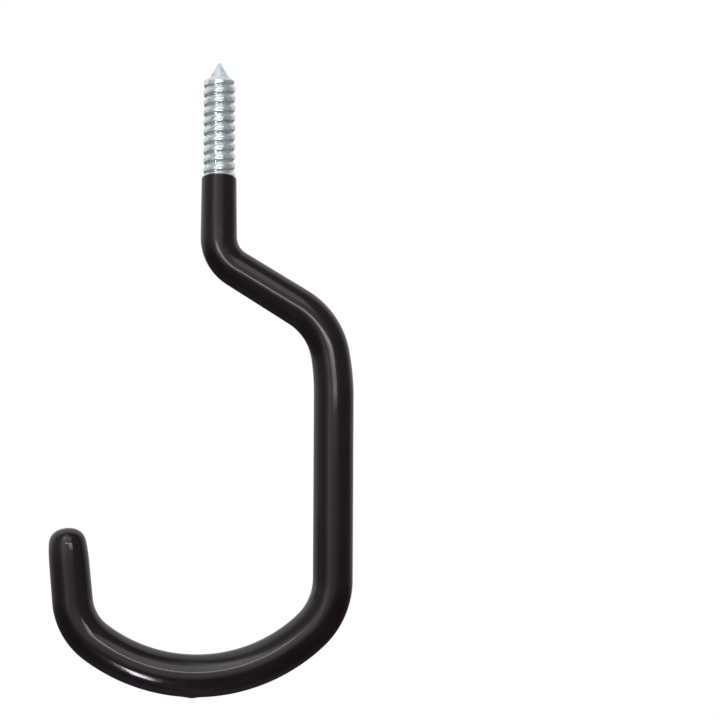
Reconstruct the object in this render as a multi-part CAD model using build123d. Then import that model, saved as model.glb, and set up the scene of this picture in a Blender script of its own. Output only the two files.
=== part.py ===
from build123d import *
import math
import os

# Bicycle storage hook: a bent steel rod with a rolled wood screw thread on its upper
# end, dipped in thick vinyl from the tip of the hook up to the start of the thread.
# Millimetres. +Z is up, the hook lies in the XZ plane and opens towards -X.
# The origin is on the screw's axis, level with the highest point of the coating's rim.

# Steel rod
ROD_DIAMETER = 7.9
ROD_END_CHAMFER = 0.5

# Screw thread, single start, right hand
THREAD_MAJOR_DIAMETER = 8.5
THREAD_ROOT_DIAMETER = 7.5
THREAD_LEAD_DIAMETER = 7.0    # the root tapers to this at the foot of the point
THREAD_LEAD_LENGTH = 4.6
THREAD_PITCH = 2.56
THREAD_LENGTH = 24.4          # from the rim of the coating to the foot of the point
THREAD_CREST_WIDTH = 0.35
THREAD_FOOT_WIDTH = 1.6
THREAD_CREST_ANGLE = 54.0     # where the crest passes the rim, turned from +X
THREAD_RUN_IN = 2.4           # height over which the thread rises out of the point
THREAD_RUN_OUT = 2.0          # length of the fading thread below the rim
ROOT_TAPER = 1.9              # length of the taper from the root up to the full rod
POINT_HALF_ANGLE = 32.0
POINT_TIP_DIAMETER = 0.5

# Centreline, from the rim of the coating down to the tip of the hook
NECK_LENGTH = 16.7
NECK_BEND_RADIUS = 9.9
OFFSET_ANGLE = 58.5           # turn out of the screw's axis, and back again
OFFSET_RUN = 19.5
SHOULDER_RADIUS = 18.5
SHOULDER_EASE_RADIUS = 63.0   # the shoulder bend opens out into the shank
SHOULDER_EASE_ANGLE = 10.0
SHANK_LENGTH = 48.9
HEEL_RADIUS = 19.0
HEEL_ANGLE = 46.5
CRADLE_RADIUS = 44.5
CRADLE_ANGLE = 80.3
TOE_RADIUS = 15.6
TOE_ANGLE = 48.0
TIP_LENGTH = 19.4             # straight end, measured to the end of the coating

# Vinyl coating: outside diameter along the rod, thicker where the wet coat ran down
COAT_AT_RIM = 9.35
COAT_ON_NECK = 9.75
COAT_BEFORE_OFFSET = 9.95
COAT_AFTER_OFFSET = 10.35
COAT_AFTER_SHOULDER = 10.45
COAT_ON_SHANK = 10.7
COAT_AFTER_HEEL = 11.1
COAT_IN_CRADLE = 11.45
COAT_BEFORE_TOE = 11.25
COAT_AFTER_TOE = 10.9
COAT_ON_TIP = 10.75
COAT_OVER_ROD_END = 2.4
RIM_TILT = 13.0               # the rim stands higher on the side of -Y
RIM_ROUNDING_WIDTH = 0.35
RIM_ROUNDING_HEIGHT = 0.5
TIP_DOME_HEIGHT = 4.8

# Drip under the cradle, where the wet coat ran together
DRIP_LENGTH = 5.4
DRIP_WIDTH = 2.4
DRIP_HEIGHT = 0.38
DRIP_SEAT = 7.6               # angle of the cradle's bend that carries the drip
DRIP_PAST_LOWEST = 1.3        # angle from the lowest point of the cradle towards the tip

# How far the straight lengths that stand for a bend may lie off the true arc
ROD_BEND_SAG = 0.24
COAT_BEND_SAG = 0.16


def on_hook_plane(x, z):
    return Vector(x, 0, z)


def line(a, b):
    return Edge.make_line(on_hook_plane(*a), on_hook_plane(*b))


def outline(points):
    """A closed profile of the XZ plane."""
    edges = [line(a, b) for a, b in zip(points, points[1:] + points[:1])]
    return Face(Wire(edges))


def turned(points, seam=0):
    """A closed profile of the XZ plane, turned about the screw's axis with its seam at an angle."""
    return Solid.revolve(outline(points), 360, Axis.Z).rotate(Axis.Z, seam)


def ring(place, diameter):
    """A circle square to the centreline at a place on it."""
    x, z, heading = place
    h = math.radians(heading)
    along = on_hook_plane(math.cos(h), math.sin(h))
    plane = Plane(origin=on_hook_plane(x, z), x_dir=(0, 1, 0), z_dir=along)
    return Wire.make_circle(diameter / 2, plane)


def ahead(place, length):
    x, z, heading = place
    h = math.radians(heading)
    return x + length * math.cos(h), z + length * math.sin(h), heading


def round_bend(place, radius, angle):
    """The place after a bend to the left of the travel, or to the right if the angle is negative."""
    x, z, heading = place
    side = math.copysign(1, angle)
    h = math.radians(heading)
    centre_x = x - side * radius * math.sin(h)
    centre_z = z + side * radius * math.cos(h)
    h = h + math.radians(angle)
    return centre_x + side * radius * math.sin(h), centre_z - side * radius * math.cos(h), heading + angle


def bend_places(place, radius, angle, tube_diameter, sag):
    """Places round a bend, near enough together to keep within the sag of the true arc."""
    outer = radius + tube_diameter / 2
    largest = 2 * math.degrees(math.acos(1 - sag / outer))
    count = math.ceil(abs(angle) / largest)
    return [round_bend(place, radius, angle * k / count) for k in range(1, count + 1)]


def to_drip():
    """The angle of the cradle's bend from the heel to the middle of the drip."""
    return 90 - HEEL_ANGLE + DRIP_PAST_LOWEST


def hook_legs(tube_diameter, sag):
    """The runs and bends after the neck: each is a list of places, and the last is its end."""
    before_drip = to_drip() - DRIP_SEAT / 2
    course = [
        (NECK_BEND_RADIUS, OFFSET_ANGLE),
        (OFFSET_RUN, 0),
        (SHOULDER_RADIUS, SHOULDER_EASE_ANGLE - OFFSET_ANGLE),
        (SHOULDER_EASE_RADIUS, -SHOULDER_EASE_ANGLE),
        (SHANK_LENGTH, 0),
        (HEEL_RADIUS, -HEEL_ANGLE),
        (CRADLE_RADIUS, -before_drip),
        (CRADLE_RADIUS, -DRIP_SEAT),
        (CRADLE_RADIUS, before_drip + DRIP_SEAT - CRADLE_ANGLE),
        (TOE_RADIUS, -TOE_ANGLE),
        (TIP_LENGTH - TIP_DOME_HEIGHT, 0),
    ]
    place = (0, -NECK_LENGTH, -90)
    legs = []
    for size, angle in course:
        if angle == 0:
            legs.append([ahead(place, size)])
        else:
            legs.append(bend_places(place, size, angle, tube_diameter, sag))
        place = legs[-1][-1]
    return legs


def ridge_bottom():
    """The radius down to which the ridge is sunk in the core and in the point."""
    depth = (THREAD_MAJOR_DIAMETER - THREAD_ROOT_DIAMETER) / 2
    return THREAD_LEAD_DIAMETER / 2 - 1.7 * depth


def thread_turn():
    """One turn of the helical ridge, its crest on the major diameter and its foot in the core."""
    crest = THREAD_MAJOR_DIAMETER / 2
    root = THREAD_ROOT_DIAMETER / 2
    half_crest = THREAD_CREST_WIDTH / 2
    half_foot = THREAD_FOOT_WIDTH / 2
    profile = outline([
        (ridge_bottom(), -half_foot),
        (root, -half_foot),
        (crest, -half_crest),
        (crest, half_crest),
        (root, half_foot),
        (ridge_bottom(), half_foot),
    ])
    helix = Edge.make_helix(THREAD_PITCH, THREAD_PITCH, ROD_DIAMETER / 2)
    return Solid.sweep(profile, Wire([helix]), is_frenet=True)


def run_in_cutter():
    """All that lies outside the blunt nose in which the thread rises out of the point."""
    crest = THREAD_MAJOR_DIAMETER / 2
    depth = crest - THREAD_ROOT_DIAMETER / 2
    start = THREAD_LENGTH - 0.55 * THREAD_RUN_IN
    knee = THREAD_LENGTH + 0.2 * THREAD_RUN_IN
    end = THREAD_LENGTH + 0.55 * THREAD_RUN_IN
    top = end + 2 * THREAD_PITCH
    outside = crest + 3 * depth
    inside = ridge_bottom() - 0.3 * depth
    return turned([
        (crest + 0.3 * depth, start),
        (outside, start),
        (outside, top),
        (inside, top),
        (inside, end),
        (crest - 0.5 * depth, knee),
    ], seam=120)


def run_out_cutter():
    """All that lies outside the cone in which the thread fades into the rod."""
    crest = THREAD_MAJOR_DIAMETER / 2
    rod = ROD_DIAMETER / 2
    sunk = rod - 0.25 * (crest - rod)
    outside = crest + 2 * (crest - rod)
    bottom = -THREAD_RUN_OUT - 3 * THREAD_PITCH
    return turned([
        (sunk, bottom),
        (outside, bottom),
        (outside, 0),
        (crest + 0.1, 0),
        (sunk, -THREAD_RUN_OUT),
    ], seam=120)


def thread_turns():
    """The turns one above another, fading out into the rod below and rising out of the point above."""
    turn = thread_turn()
    low = run_out_cutter()
    high = run_in_cutter()
    first = THREAD_PITCH * (math.floor(-THREAD_RUN_OUT / THREAD_PITCH) - 1)
    last = THREAD_LENGTH + THREAD_RUN_IN
    start = first - THREAD_PITCH * THREAD_CREST_ANGLE / 360
    turns = []
    for k in range(math.ceil((last - start) / THREAD_PITCH)):
        z = start + k * THREAD_PITCH
        piece = Location((0, 0, z)) * turn
        if z < THREAD_PITCH:
            piece = piece.cut(low)
        if z + 2 * THREAD_PITCH > THREAD_LENGTH - THREAD_RUN_IN:
            piece = piece.cut(high)
        turns.extend(piece.solids())
    return turns


def screw_core():
    """The rod's upper end: full rod, taper down to the thread's root, lead taper and point."""
    rod = ROD_DIAMETER / 2
    root = THREAD_ROOT_DIAMETER / 2
    lead = THREAD_LEAD_DIAMETER / 2
    tip = POINT_TIP_DIAMETER / 2
    slope = math.tan(math.radians(POINT_HALF_ANGLE))
    return turned([
        (0, -NECK_LENGTH),
        (rod, -NECK_LENGTH),
        (rod, 0),
        (root, ROOT_TAPER),
        (root, THREAD_LENGTH - THREAD_LEAD_LENGTH),
        (lead, THREAD_LENGTH),
        (tip, THREAD_LENGTH + (lead - tip) / slope),
        (0, THREAD_LENGTH + (lead - tip) / slope),
    ], seam=240)


def steel_screw_rod():
    """The bent rod with its rolled thread, in one piece."""
    places = [(0, -NECK_LENGTH, -90)]
    for leg in hook_legs(ROD_DIAMETER, ROD_BEND_SAG):
        places.extend(leg)
    rings = [ring(place, ROD_DIAMETER) for place in places[:-1]]
    straight = TIP_LENGTH - COAT_OVER_ROD_END
    rings.append(ring(ahead(places[-2], straight - ROD_END_CHAMFER), ROD_DIAMETER))
    rings.append(ring(ahead(places[-2], straight), ROD_DIAMETER - 2 * ROD_END_CHAMFER))
    bent = Solid.make_loft(rings, ruled=True)
    screw = screw_core().fuse(*thread_turns())
    return screw.fuse(bent)


def rim_rings():
    """The rounded upper edge of the coating, on a slant, with its highest point level with the origin."""
    slant = math.sin(math.radians(RIM_TILT))
    middle = -slant * (COAT_AT_RIM / 2 - RIM_ROUNDING_WIDTH)
    rings = []
    for angle in (90, 45, 0):
        a = math.radians(angle)
        level = -RIM_ROUNDING_HEIGHT * (1 - math.sin(a))
        inset = RIM_ROUNDING_WIDTH * (1 - math.cos(a))
        flat = ring((0, level, -90), COAT_AT_RIM - 2 * inset)
        rings.append(flat.rotate(Axis.X, -RIM_TILT).translate((0, 0, middle)))
    return rings


def coat_body():
    """The coating as if it were solid, from its rounded rim to the closed dome over the tip."""
    rings = rim_rings()
    rings.append(ring((0, -NECK_LENGTH, -90), COAT_ON_NECK))
    ends = [
        COAT_BEFORE_OFFSET,
        COAT_AFTER_OFFSET,
        COAT_AFTER_SHOULDER,
        COAT_ON_SHANK,
        COAT_ON_SHANK,
        COAT_AFTER_HEEL,
        COAT_IN_CRADLE,
        COAT_IN_CRADLE,
        COAT_BEFORE_TOE,
        COAT_AFTER_TOE,
        COAT_ON_TIP,
    ]
    diameter = COAT_ON_NECK
    for leg, end in zip(hook_legs(COAT_IN_CRADLE, COAT_BEND_SAG), ends):
        for k, place in enumerate(leg, start=1):
            rings.append(ring(place, diameter + (end - diameter) * k / len(leg)))
        diameter = end
    for angle in (22, 44, 64, 80):
        a = math.radians(angle)
        rings.append(ring(ahead(place, TIP_DOME_HEIGHT * math.sin(a)), COAT_ON_TIP * math.cos(a)))
    return Solid.make_loft(rings, ruled=True)


def coat_drip():
    """The drip, longer than wide and drawn down to a soft point."""
    heel_end = hook_legs(COAT_IN_CRADLE, COAT_BEND_SAG)[5][-1]
    x, z, heading = round_bend(heel_end, CRADLE_RADIUS, -to_drip())
    bottom = z - COAT_IN_CRADLE / 2
    slices = []
    for share, drop in ((1.6, -1.1), (0.2, 1.0)):
        slices.append(Wire([Edge.make_ellipse(
            DRIP_LENGTH / 2 * share,
            DRIP_WIDTH / 2 * share,
            Plane(origin=on_hook_plane(x, bottom - DRIP_HEIGHT * drop)),
        )]))
    return Solid.make_loft(slices, ruled=True)


def vinyl_coating(rod):
    """The dipped coating: its outer shape less the rod it grips."""
    return coat_body().fuse(coat_drip()).cut(rod)


def main():
    os.makedirs("parts", exist_ok=True)
    rod = steel_screw_rod()
    coating = vinyl_coating(rod)
    export_step(rod, "parts/steel_screw_rod.step")
    export_step(coating, "parts/vinyl_coating.step")


main()
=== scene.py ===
import math

import bmesh
import bpy
from mathutils import Matrix, Quaternion, Vector


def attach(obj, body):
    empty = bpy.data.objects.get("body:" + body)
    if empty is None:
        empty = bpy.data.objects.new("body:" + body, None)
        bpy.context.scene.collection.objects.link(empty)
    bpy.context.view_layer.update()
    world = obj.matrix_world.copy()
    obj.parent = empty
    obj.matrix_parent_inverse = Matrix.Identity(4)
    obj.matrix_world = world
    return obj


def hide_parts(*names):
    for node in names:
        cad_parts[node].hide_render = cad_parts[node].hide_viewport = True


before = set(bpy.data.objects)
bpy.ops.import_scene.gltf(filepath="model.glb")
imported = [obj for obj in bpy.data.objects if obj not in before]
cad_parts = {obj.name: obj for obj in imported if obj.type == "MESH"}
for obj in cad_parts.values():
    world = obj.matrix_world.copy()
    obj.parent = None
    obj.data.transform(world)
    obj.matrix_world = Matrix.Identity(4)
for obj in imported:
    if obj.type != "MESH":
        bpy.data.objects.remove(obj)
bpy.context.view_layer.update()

MM = 0.001

# Sizes of the CAD solids: lengths in millimetres, angles in degrees
ROD = 7.9
ROD_END_CHAMFER = 0.5
MAJOR = 8.5                   # diameter of the thread's crest
ROOT = 7.5
LEAD = 7.0                    # the root tapers to this at the foot of the point
LEAD_LENGTH = 4.6
PITCH = 2.56
THREAD_LENGTH = 24.4          # from the coating's rim to the foot of the point
CREST_ANGLE = 54.0            # where the crest passes the rim, turned from +X
RUN_IN = 2.4                  # height over which the thread rises out of the point
RUN_OUT = 2.0                 # length of the fading thread below the rim
ROOT_TAPER = 1.9              # from the root up to the full rod
POINT_HALF_ANGLE = 32.0
POINT_TIP = 0.5
NECK_LENGTH = 16.7
TIP_LENGTH = 19.4             # from the toe bend to the coating's end
COAT_OVER_ROD_END = 2.4
RIM_TILT = 13.0
RIM_ROUNDING_WIDTH = 0.35
RIM_ROUNDING_HEIGHT = 0.5
DRIP_LENGTH = 5.4
DRIP_WIDTH = 2.4
DRIP_HEIGHT = 0.38
DRIP_X = -6.70
DRIP_ABOVE = -133.7           # the drip is below this height

POINT_TOP = THREAD_LENGTH + (LEAD - POINT_TIP) / 2 / math.tan(math.radians(POINT_HALF_ANGLE))
DOWN = -90                    # heading of the neck

# The centreline after the neck: radius or length, turn in degrees, coating's diameter at the end
COAT_AT_RIM = 9.35
COAT_ON_NECK = 9.75
COURSE = [
    (9.9, 58.5, 9.95),
    (19.5, 0, 10.35),
    (18.5, -48.5, 10.45),
    (63.0, -10.0, 10.7),
    (48.9, 0, 10.7),
    (19.0, -46.5, 11.1),
    (44.5, -41.0, 11.45),
    (44.5, -7.6, 11.45),
    (44.5, -31.7, 11.25),
    (15.6, -48.0, 10.9),
]
# The coating's end: distance back from the tip, diameter
TIP_PROFILE = [
    (12.0, 10.75), (9.0, 10.69), (7.0, 10.56), (5.5, 10.37), (4.0, 10.05), (3.1, 9.68), (2.4, 9.14),
    (1.8, 8.43), (1.25, 7.48), (0.75, 6.13), (0.4, 4.70), (0.15, 3.00), (0.0, 0.60),
]

# Forms of the fine meshes: lengths in millimetres, and the powers of two profiles
RIDGE_WIDTH = 2.15            # foot of the rolled ridge with its rounded flanks
RIDGE_FULLNESS = 2.6          # a higher power gives a broader crest and a narrower groove
DRIP_SHARPNESS = 1.2          # a higher power gives a more pointed drip
SKIN_INSET = 0.03             # keeps the smooth skin inside the box of the CAD solids
RIM_GAP = 0.1                 # the rim's edge stands off the rod by half of this
SKIN_REACH_INSIDE = 5         # how far the skin runs down inside the rim
THREAD_MESH_BOTTOM = -3.0     # hidden in the coating

# How fine the meshes are
WELD_DISTANCE = 0.0001        # millimetres, between points that are one
COAT_COLUMNS = 112
COAT_STEP = 0.8               # millimetres between rings
NECK_ROWS = 20
RIM_ROUNDING_STEP = 10        # degrees
SCREW_COLUMNS = 96
SCREW_ROWS_A_TURN = 36
ROD_STEP = 1.5                # millimetres between rings
FLOOR_SEGMENTS = 96

# Looks of the vinyl and the zinc
VINYL_IOR = 1.53
ZINC_METAL = 0.76
POINT_METAL_CHANGE = -0.20    # on the dull point
POINT_ROUGHNESS_CHANGE = 0.35
POINT_DULL_START = THREAD_LENGTH + 0.6
POINT_DULL_FULL = POINT_DULL_START + 0.5

# The camera, found by laying the outline of the solids over the photograph, in millimetres and degrees
CAMERA_X = 37.82
CAMERA_Z = -49.29
CAMERA_DISTANCE = 620.0
CAMERA_ROLL = 0.29
VIEW_WIDTH = 192.0            # at the hook's plane
SENSOR_WIDTH = 36.0
CLIP_START = 0.01             # metres
CLIP_END = 20                 # metres

# What reflections see of the room: levels by azimuth times levels by elevation, both in degrees.
# Azimuth 0 is the camera's side, and plus is on the camera's right
ROOM_BY_AZIMUTH = [
    (-180, 0.55), (-145, 0.66), (-125, 0.74), (-103, 0.68), (-90, 0.40), (-60, 0.25), (-47, 0.34),
    (-36, 0.52), (-27, 1.15), (-16, 1.10), (-5, 0.72), (8, 0.62), (18, 0.46), (27, 0.38), (38, 0.17),
    (55, 0.15), (80, 0.13), (94, 0.13), (104, 0.21), (120, 0.44), (142, 0.66), (180, 0.55),
]
ROOM_BY_ELEVATION = [
    (-90, 0.30), (-65, 0.14), (-40, 0.07), (-20, 0.08), (-12, 0.18), (-7, 0.58), (0, 0.85),
    (5, 1.15), (9, 0.95), (20, 1.15), (45, 1.15), (62, 1.35), (78, 0.75), (90, 0.45),
]
LEVEL_TOP = 2.0               # the ramps hold levels divided by this, because their colours end at 1
AMBIENT = 0.75                # what the room gives to dull surfaces

# The floor below the hook, in metres
FLOOR_Z = -0.30
FLOOR_RADIUS = 0.85
FLOOR_FADE_START = 0.35

# Lamps, seen from the middle of the hook: azimuth, elevation and lean to the right in degrees, then metres
HOOK_MIDDLE = (-4.5, 0, -55)  # millimetres
WHITE = (1.0, 1.0, 1.0)
WARM = (1.0, 0.95, 0.86)
VIOLET = (0.95, 0.93, 1.0)
LAMPS = [
    # name, azimuth, elevation, lean, distance, width, height, radiance, colour
    ("overhead", 2, 43, 0, 1.1, 1.0, 0.55, 0.85, WHITE),
    ("front_strip", 3.5, 8.3, 0, 0.243, 0.20, 0.018, 6.0, WARM),
    ("side_strip", 15.6, 2.6, 0, 0.249, 0.095, 0.037, 2.6, WARM),
    ("low_lamp", -23.1, -48.4, 19, 0.261, 0.017, 0.060, 27.0, VIOLET),
]


# Centreline: a place is x, z and a heading in degrees

def ahead(place, length):
    x, z, heading = place
    h = math.radians(heading)
    return x + length * math.cos(h), z + length * math.sin(h), heading


def round_bend(place, radius, angle):
    x, z, heading = place
    side = math.copysign(1, angle)
    h = math.radians(heading)
    centre_x = x - side * radius * math.sin(h)
    centre_z = z + side * radius * math.cos(h)
    h += math.radians(angle)
    return centre_x + side * radius * math.sin(h), centre_z - side * radius * math.cos(h), heading + angle


def course_places(step):
    """(place, coating diameter) along the centreline from the neck's end to the end of the toe bend."""
    place = (0, -NECK_LENGTH, DOWN)
    diameter = COAT_ON_NECK
    found = []
    for size, angle, end in COURSE:
        length = size * math.radians(abs(angle)) if angle else size
        count = math.ceil(length / step)
        for k in range(1, count + 1):
            share = k / count
            if angle:
                here = round_bend(place, size, angle * share)
            else:
                here = ahead(place, size * share)
            found.append((here, diameter + (end - diameter) * share))
        place = here
        diameter = end
    return found


def between(value, stops):
    """Straight-line interpolation through (position, level) stops."""
    if value <= stops[0][0]:
        return stops[0][1]
    for (a, low), (b, high) in zip(stops, stops[1:]):
        if value <= b:
            return low + (high - low) * (value - a) / (b - a)
    return stops[-1][1]


# Meshes

def ring_points(place, diameter, count):
    """A ring of points square to the centreline at a place."""
    x, z, heading = place
    h = math.radians(heading)
    across = Vector((-math.sin(h), 0, math.cos(h)))
    centre = Vector((x, 0, z))
    points = []
    for k in range(count):
        a = 2 * math.pi * k / count
        points.append(centre + (across * math.cos(a) + Vector((0, 1, 0)) * math.sin(a)) * diameter / 2)
    return points


def add_tube(mesh, rings):
    """Skins rings of equal count, each a list of points in millimetres, and closes the last one."""
    rows = [[mesh.verts.new(p * MM) for p in ring] for ring in rings]
    for a, b in zip(rows, rows[1:]):
        for k in range(len(a)):
            n = (k + 1) % len(a)
            mesh.faces.new((a[k], a[n], b[n], b[k]))
    mesh.faces.new(rows[-1])


def new_object(name, mesh, material):
    data = bpy.data.meshes.new(name)
    mesh.to_mesh(data)
    mesh.free()
    data.materials.append(material)
    added = bpy.data.objects.new(name, data)
    bpy.context.scene.collection.objects.link(added)
    return added


def new_piece(name, mesh, material):
    bmesh.ops.recalc_face_normals(mesh, faces=mesh.faces)
    for face in mesh.faces:
        face.smooth = True
    return new_object(name, mesh, material)


# Shader nodes

def new_material(name):
    material = bpy.data.materials.new(name)
    material.use_nodes = True
    nodes = material.node_tree.nodes
    links = material.node_tree.links
    coordinate = nodes.new("ShaderNodeTexCoord").outputs["Object"]
    return material, nodes, links, nodes["Principled BSDF"], coordinate


def grey(level):
    return (level, level, level)


def noise(nodes, links, coordinate, scale, detail, roughness=0.5):
    texture = nodes.new("ShaderNodeTexNoise")
    texture.inputs["Scale"].default_value = scale
    texture.inputs["Detail"].default_value = detail
    texture.inputs["Roughness"].default_value = roughness
    links.new(coordinate, texture.inputs["Vector"])
    return texture.outputs["Fac"]


def ramp(nodes, links, value, stops):
    """Maps a value to a colour or grey by stops of (position, colour)."""
    node = nodes.new("ShaderNodeValToRGB")
    elements = node.color_ramp.elements
    while len(elements) < len(stops):
        elements.new(0.5)
    for element, (position, colour) in zip(elements, stops):
        element.position = position
        element.color = (*colour, 1)
    links.new(value, node.inputs["Fac"])
    return node.outputs["Color"]


def rise(nodes, links, value, start, end, smooth=False):
    """0 up to the start, 1 from the end."""
    node = nodes.new("ShaderNodeMapRange")
    if smooth:
        node.interpolation_type = "SMOOTHSTEP"
    node.inputs["From Min"].default_value = start
    node.inputs["From Max"].default_value = end
    links.new(value, node.inputs["Value"])
    return node.outputs["Result"]


def bump(nodes, links, height, distance, strength, normal=None):
    node = nodes.new("ShaderNodeBump")
    node.inputs["Distance"].default_value = distance
    node.inputs["Strength"].default_value = strength
    links.new(height, node.inputs["Height"])
    if normal is not None:
        links.new(normal, node.inputs["Normal"])
    return node.outputs["Normal"]


def math_node(nodes, links, operation, first, second):
    node = nodes.new("ShaderNodeMath")
    node.operation = operation
    for socket, value in zip(node.inputs, (first, second)):
        if isinstance(value, (int, float)):
            socket.default_value = value
        else:
            links.new(value, socket)
    return node.outputs["Value"]


def axes_of(nodes, links, vector):
    """The X, Y and Z of a vector, by name."""
    node = nodes.new("ShaderNodeSeparateXYZ")
    links.new(vector, node.inputs["Vector"])
    return node.outputs


def white_light(nodes, kind, strength):
    """A white Background or Emission."""
    node = nodes.new(kind)
    node.inputs["Color"].default_value = (*WHITE, 1)
    node.inputs["Strength"].default_value = strength
    return node.outputs[0]


def mix_shaders(nodes, links, share, first, second):
    """The first shader where the share is 0, the second where it is 1."""
    node = nodes.new("ShaderNodeMixShader")
    links.new(share, node.inputs["Fac"])
    links.new(first, node.inputs[1])
    links.new(second, node.inputs[2])
    return node.outputs["Shader"]


# Materials

def vinyl_material():
    """Thick glossy dipped vinyl: near black, with slow waves and a very fine orange peel."""
    material, nodes, links, shader, coordinate = new_material("black_vinyl")
    cloud = noise(nodes, links, coordinate, scale=90, detail=4)
    tint = ramp(nodes, links, cloud, [(0.3, (0.0080, 0.0048, 0.0055)), (0.7, (0.0108, 0.0070, 0.0077))])
    links.new(tint, shader.inputs["Base Color"])

    sheen = noise(nodes, links, coordinate, scale=400, detail=4, roughness=0.6)
    gloss = ramp(nodes, links, sheen, [(0.3, grey(0.10)), (0.75, grey(0.16))])
    links.new(gloss, shader.inputs["Roughness"])
    shader.inputs["IOR"].default_value = VINYL_IOR

    swell = noise(nodes, links, coordinate, scale=120, detail=1)
    waves = bump(nodes, links, swell, distance=0.0003, strength=0.22)
    pores = noise(nodes, links, coordinate, scale=2200, detail=2)
    peel = bump(nodes, links, pores, distance=0.00002, strength=0.12, normal=waves)
    links.new(peel, shader.inputs["Normal"])
    return material


def zinc_material():
    """Bright zinc plate over rolled steel: bluish and mottled, and duller on the point."""
    material, nodes, links, shader, coordinate = new_material("zinc_plated_steel")
    height = axes_of(nodes, links, coordinate)["Z"]
    on_point = rise(nodes, links, height, POINT_DULL_START * MM, POINT_DULL_FULL * MM)

    mottle = noise(nodes, links, coordinate, scale=700, detail=5, roughness=0.65)
    tint = ramp(nodes, links, mottle, [
        (0.34, (0.40, 0.54, 0.62)),
        (0.46, (0.80, 0.89, 0.92)),
        (0.70, (0.95, 0.98, 0.99)),
    ])
    links.new(tint, shader.inputs["Base Color"])
    metal = math_node(nodes, links, "MULTIPLY", on_point, POINT_METAL_CHANGE)
    metal = math_node(nodes, links, "ADD", metal, ZINC_METAL)
    links.new(metal, shader.inputs["Metallic"])

    grain = noise(nodes, links, coordinate, scale=1500, detail=4, roughness=0.6)
    dull = ramp(nodes, links, grain, [(0.3, grey(0.09)), (0.75, grey(0.22))])
    rough = math_node(nodes, links, "MULTIPLY", on_point, POINT_ROUGHNESS_CHANGE)
    rough = math_node(nodes, links, "ADD", rough, dull)
    links.new(rough, shader.inputs["Roughness"])

    pits = noise(nodes, links, coordinate, scale=1300, detail=3)
    dents = bump(nodes, links, pits, distance=0.00005, strength=0.4)
    crystals = noise(nodes, links, coordinate, scale=3000, detail=3)
    fine = bump(nodes, links, crystals, distance=0.00003, strength=0.4, normal=dents)
    links.new(fine, shader.inputs["Normal"])
    return material


def floor_material():
    """Pale paper that fades into the white around it at its edge, for the camera only."""
    material, nodes, links, shader, coordinate = new_material("floor_paper")
    fibres = noise(nodes, links, coordinate, scale=140, detail=5, roughness=0.6)
    tint = ramp(nodes, links, fibres, [(0.3, grey(0.93)), (0.7, grey(0.95))])
    links.new(tint, shader.inputs["Base Color"])
    links.new(bump(nodes, links, fibres, distance=0.0004, strength=0.3), shader.inputs["Normal"])
    shader.inputs["Roughness"].default_value = 0.9

    distance = nodes.new("ShaderNodeVectorMath")
    distance.operation = "LENGTH"
    links.new(coordinate, distance.inputs[0])
    fade = rise(nodes, links, distance.outputs["Value"], FLOOR_FADE_START, FLOOR_RADIUS, smooth=True)
    camera_ray = nodes.new("ShaderNodeLightPath").outputs["Is Camera Ray"]
    faded = math_node(nodes, links, "MULTIPLY", fade, camera_ray)
    white = white_light(nodes, "ShaderNodeEmission", 1.0)
    surface = mix_shaders(nodes, links, faded, shader.outputs["BSDF"], white)
    links.new(surface, nodes["Material Output"].inputs["Surface"])
    return material


# Coating

def drip_depth(point):
    """How far the drip hangs below the tube's skin at a point."""
    if point.z > DRIP_ABOVE:
        return 0
    reach = math.hypot((point.x - DRIP_X) / (DRIP_LENGTH / 2), point.y / (DRIP_WIDTH / 2))
    return DRIP_HEIGHT * max(0, 1 - reach) ** DRIP_SHARPNESS


def rim_ring(level, diameter):
    """A ring at a level near the rim, turned with its slant, which stands higher on the side of -Y."""
    slant = math.radians(RIM_TILT)
    middle = Vector((0, 0, -math.sin(slant) * (COAT_AT_RIM / 2 - RIM_ROUNDING_WIDTH)))
    turn = Matrix.Rotation(-slant, 3, "X")
    return [turn @ point + middle for point in ring_points((0, level, DOWN), diameter, COAT_COLUMNS)]


def build_coating(material):
    mesh = bmesh.new()

    # From inside the coating, over the slanting rim, and down the neck as the slant eases out
    rings = [ring_points((0, -SKIN_REACH_INSIDE, DOWN), ROD, COAT_COLUMNS), rim_ring(0, ROD + RIM_GAP)]
    for angle in range(90, -1, -RIM_ROUNDING_STEP):
        a = math.radians(angle)
        level = -RIM_ROUNDING_HEIGHT * (1 - math.sin(a))
        inset = SKIN_INSET + RIM_ROUNDING_WIDTH * (1 - math.cos(a))
        rings.append(rim_ring(level, COAT_AT_RIM - 2 * inset))
    upper = rings[-1]
    lower = ring_points((0, -NECK_LENGTH, DOWN), COAT_ON_NECK - 2 * SKIN_INSET, COAT_COLUMNS)
    for k in range(1, NECK_ROWS + 1):
        rings.append([a.lerp(b, k / NECK_ROWS) for a, b in zip(upper, lower)])

    # Round the bends to the domed end
    places = course_places(COAT_STEP)
    toe = places[-1][0]
    places += [(ahead(toe, TIP_LENGTH - back), diameter) for back, diameter in TIP_PROFILE]
    rings += [ring_points(place, diameter - 2 * SKIN_INSET, COAT_COLUMNS) for place, diameter in places]
    for ring in rings:
        for point in ring:
            point.z -= drip_depth(point)
    add_tube(mesh, rings)

    piece = new_piece("vinyl_skin", mesh, material)
    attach(piece, "root")
    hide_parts("vinyl_coating")


# Rod and thread

def core_radius(z):
    """The rod, its taper to the thread's root, the lead taper and the point."""
    return between(z, [
        (0, ROD / 2),
        (ROOT_TAPER, ROOT / 2),
        (THREAD_LENGTH - LEAD_LENGTH, ROOT / 2),
        (THREAD_LENGTH, LEAD / 2),
        (POINT_TOP, POINT_TIP / 2),
    ])


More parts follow.
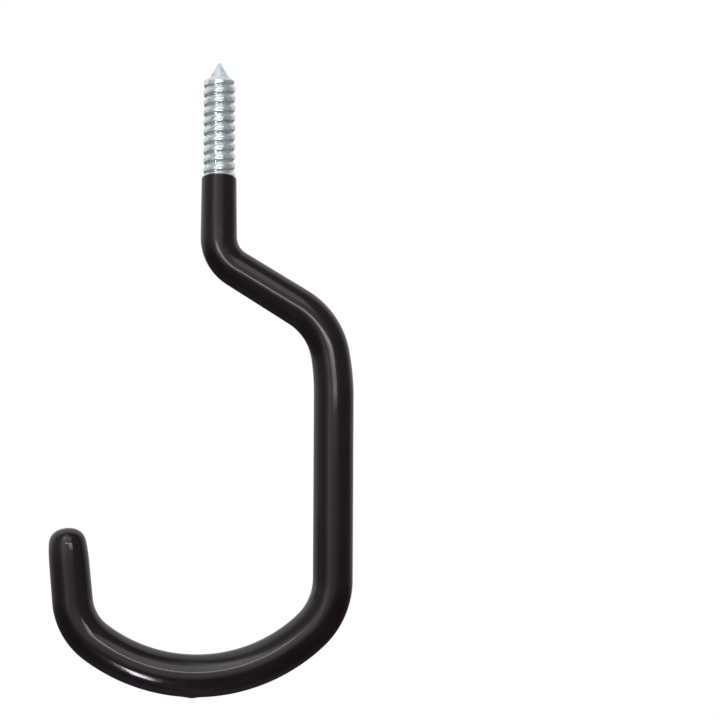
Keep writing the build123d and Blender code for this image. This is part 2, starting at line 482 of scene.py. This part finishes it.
def ridge_limit(z):
    """The radius the ridge may reach: it sinks into the rod below the rim and rises out of the point.

    The blunt nose at the point is drawn by shares of the run-in's height and of the ridge's depth.
    """
    crest = MAJOR / 2
    depth = (MAJOR - ROOT) / 2
    return between(z, [
        (-RUN_OUT, ROD / 2 - 0.2 * depth),
        (0, crest),
        (THREAD_LENGTH - 0.4 * RUN_IN, crest),
        (THREAD_LENGTH + 0.2 * RUN_IN, crest - 0.5 * depth),
        (THREAD_LENGTH + 0.6 * RUN_IN, LEAD / 2 - 2 * depth),
        (THREAD_LENGTH + 0.7 * RUN_IN, 0),
    ])


def ridge_radius(z, turn):
    """The rolled ridge's profile, with its rounded crest, at a height and an angle in turns."""
    phase = (z / PITCH - turn + CREST_ANGLE / 360) % 1
    off = min(phase, 1 - phase) * PITCH
    reach = min(1, off / (RIDGE_WIDTH / 2))
    return MAJOR / 2 - (MAJOR - ROOT) / 2 * reach ** RIDGE_FULLNESS


def screw_radius(z, turn):
    return max(core_radius(z), min(ridge_radius(z, turn), ridge_limit(z)))


def screw_point(row, column):
    """A point of a grid that is sheared along the helix, so that its rows follow the ridge."""
    turn = column / SCREW_COLUMNS
    z = THREAD_MESH_BOTTOM - PITCH + PITCH * (row / SCREW_ROWS_A_TURN + turn)
    z = min(POINT_TOP, max(THREAD_MESH_BOTTOM, z))
    r = screw_radius(z, turn)
    a = 2 * math.pi * turn
    return Vector((r * math.cos(a), r * math.sin(a), z))


def add_screw(mesh):
    rows = math.ceil((POINT_TOP - THREAD_MESH_BOTTOM) / PITCH + 1) * SCREW_ROWS_A_TURN
    grid = {}
    for j in range(rows + 1):
        for i in range(SCREW_COLUMNS):
            grid[i, j] = mesh.verts.new(screw_point(j, i) * MM)
    for j in range(rows):
        for i in range(SCREW_COLUMNS):
            if i + 1 < SCREW_COLUMNS:
                right = grid[i + 1, j], grid[i + 1, j + 1]
            elif j + SCREW_ROWS_A_TURN + 1 <= rows:
                right = grid[0, j + SCREW_ROWS_A_TURN], grid[0, j + SCREW_ROWS_A_TURN + 1]
            else:
                continue
            mesh.faces.new((grid[i, j], right[0], right[1], grid[i, j + 1]))
    bmesh.ops.remove_doubles(mesh, verts=mesh.verts, dist=WELD_DISTANCE * MM)

    # The small flat at the end of the point
    flat = [v for v in mesh.verts if v.co.z > (POINT_TOP - 10 * WELD_DISTANCE) * MM]
    flat.sort(key=lambda v: math.atan2(v.co.y, v.co.x))
    mesh.faces.new(flat)


def build_rod(material):
    mesh = bmesh.new()
    add_screw(mesh)

    # The bent rod inside the coating
    places = [(0, THREAD_MESH_BOTTOM, DOWN), (0, -NECK_LENGTH, DOWN)]
    places += [place for place, _ in course_places(ROD_STEP)]
    end = ahead(places[-1], TIP_LENGTH - COAT_OVER_ROD_END)
    places.append(ahead(end, -ROD_END_CHAMFER))
    rings = [ring_points(place, ROD, SCREW_COLUMNS) for place in places]
    rings.append(ring_points(end, ROD - 2 * ROD_END_CHAMFER, SCREW_COLUMNS))
    add_tube(mesh, rings)

    piece = new_piece("screw_rod", mesh, material)
    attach(piece, "root")
    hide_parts("steel_screw_rod")


# Studio

def level_by_angle(nodes, links, angle, half_range, stops):
    """A level read from stops of (degrees, level), for an angle in radians."""
    share = math_node(nodes, links, "MULTIPLY", angle, 0.5 / math.radians(half_range))
    share = math_node(nodes, links, "ADD", share, 0.5)
    found = ramp(nodes, links, share, [
        ((degrees / half_range + 1) / 2, grey(level / LEVEL_TOP)) for degrees, level in stops
    ])
    return math_node(nodes, links, "MULTIPLY", found, LEVEL_TOP)


def build_world():
    """White to the camera all round. Reflections see a room, brightest left of the camera and above."""
    world = bpy.data.worlds.new("studio")
    bpy.context.scene.world = world
    world.use_nodes = True
    nodes = world.node_tree.nodes
    links = world.node_tree.links
    nodes.clear()

    direction = axes_of(nodes, links, nodes.new("ShaderNodeTexCoord").outputs["Generated"])
    forward = math_node(nodes, links, "MULTIPLY", direction["Y"], -1.0)
    azimuth = math_node(nodes, links, "ARCTAN2", direction["X"], forward)
    elevation = math_node(nodes, links, "ARCSINE", direction["Z"], 0.0)
    round_about = level_by_angle(nodes, links, azimuth, 180, ROOM_BY_AZIMUTH)
    up_and_down = level_by_angle(nodes, links, elevation, 90, ROOM_BY_ELEVATION)
    levels = math_node(nodes, links, "MULTIPLY", round_about, up_and_down)
    room = nodes.new("ShaderNodeBackground")
    links.new(levels, room.inputs["Color"])

    rays = nodes.new("ShaderNodeLightPath").outputs
    mirror = math_node(nodes, links, "MAXIMUM", rays["Is Glossy Ray"], rays["Is Transmission Ray"])
    ambient = white_light(nodes, "ShaderNodeBackground", AMBIENT)
    white = white_light(nodes, "ShaderNodeBackground", 1.0)
    seen = mix_shaders(nodes, links, mirror, ambient, room.outputs["Background"])
    seen = mix_shaders(nodes, links, rays["Is Camera Ray"], seen, white)
    links.new(seen, nodes.new("ShaderNodeOutputWorld").inputs["Surface"])


def add_lamp(name, azimuth, elevation, lean, distance, width, height, radiance, colour):
    """An area lamp of a given radiance, so that its mirror image has that brightness."""
    a, e = math.radians(azimuth), math.radians(elevation)
    away = Vector((math.sin(a) * math.cos(e), -math.cos(a) * math.cos(e), math.sin(e)))
    data = bpy.data.lights.new(name, "AREA")
    data.shape = "RECTANGLE"
    data.size = width
    data.size_y = height
    data.energy = math.pi * width * height * radiance
    data.color = colour
    lamp = bpy.data.objects.new(name, data)
    lamp.location = Vector(HOOK_MIDDLE) * MM + away * distance
    lamp.rotation_mode = "QUATERNION"
    turn = Quaternion((0, 0, 1), -math.radians(lean))
    lamp.rotation_quaternion = (-away).to_track_quat("-Z", "Y") @ turn
    lamp.visible_camera = False
    bpy.context.scene.collection.objects.link(lamp)


def build_floor(material):
    """A pale disc below the hook, hidden from reflections."""
    mesh = bmesh.new()
    bmesh.ops.create_circle(mesh, cap_ends=True, segments=FLOOR_SEGMENTS, radius=FLOOR_RADIUS)
    floor = new_object("floor", mesh, material)
    floor.location = (0, 0, FLOOR_Z)
    floor.visible_glossy = False


def build_camera():
    data = bpy.data.cameras.new("camera")
    data.sensor_width = SENSOR_WIDTH
    data.lens = SENSOR_WIDTH * CAMERA_DISTANCE / VIEW_WIDTH
    data.clip_start = CLIP_START
    data.clip_end = CLIP_END
    camera = bpy.data.objects.new("camera", data)
    level = Matrix.Rotation(math.radians(90), 4, "X")
    roll = Matrix.Rotation(math.radians(CAMERA_ROLL), 4, "Z")
    place = Vector((CAMERA_X, -CAMERA_DISTANCE, CAMERA_Z)) * MM
    camera.matrix_world = Matrix.Translation(place) @ level @ roll
    bpy.context.scene.collection.objects.link(camera)
    bpy.context.scene.camera = camera


build_coating(vinyl_material())
build_rod(zinc_material())
build_world()
build_floor(floor_material())
build_camera()
for lamp in LAMPS:
    add_lamp(*lamp)
bpy.context.scene.view_settings.view_transform = "Standard"
